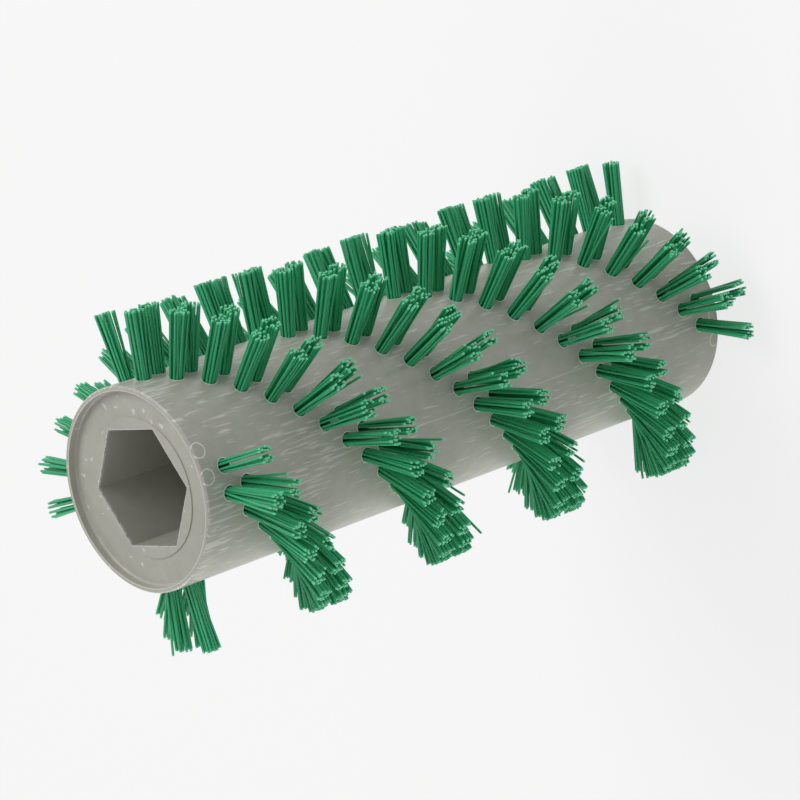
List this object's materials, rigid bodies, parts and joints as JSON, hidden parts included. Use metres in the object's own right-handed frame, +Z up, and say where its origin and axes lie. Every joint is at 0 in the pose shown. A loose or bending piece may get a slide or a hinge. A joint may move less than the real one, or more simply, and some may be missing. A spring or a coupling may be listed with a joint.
{
  "type": "floor cleaner brush roll",
  "caption": "Cylindrical scrubbing roll with a hexagonal drive bore and stiff bristle tufts in helical double flights.",
  "frame": {"origin": "on the roll's axis, in the plane of the lower rim that it stands on", "axes": "+Z up along the roll's axis, +X through a corner of the hexagonal drive bore"},
  "size_m": [0.1, 0.1, 0.215],
  "materials": {
    "core": "turned and slightly scuffed grey polypropylene",
    "bristles": "satin green nylon filament",
    "staples": "flat steel wire"
  },
  "bodies": {
    "root": {"core": "core", "tufts_1_leading": "bristles", "tufts_1_trailing": "bristles", "tufts_2_leading": "bristles", "tufts_2_trailing": "bristles", "tufts_3_leading": "bristles", "tufts_3_trailing": "bristles", "tufts_4_leading": "bristles", "tufts_4_trailing": "bristles", "staples_1_leading": "staples", "staples_1_trailing": "staples", "staples_2_leading": "staples", "staples_2_trailing": "staples", "staples_3_leading": "staples", "staples_3_trailing": "staples", "staples_4_leading": "staples", "staples_4_trailing": "staples"}
  },
  "joints": []
}
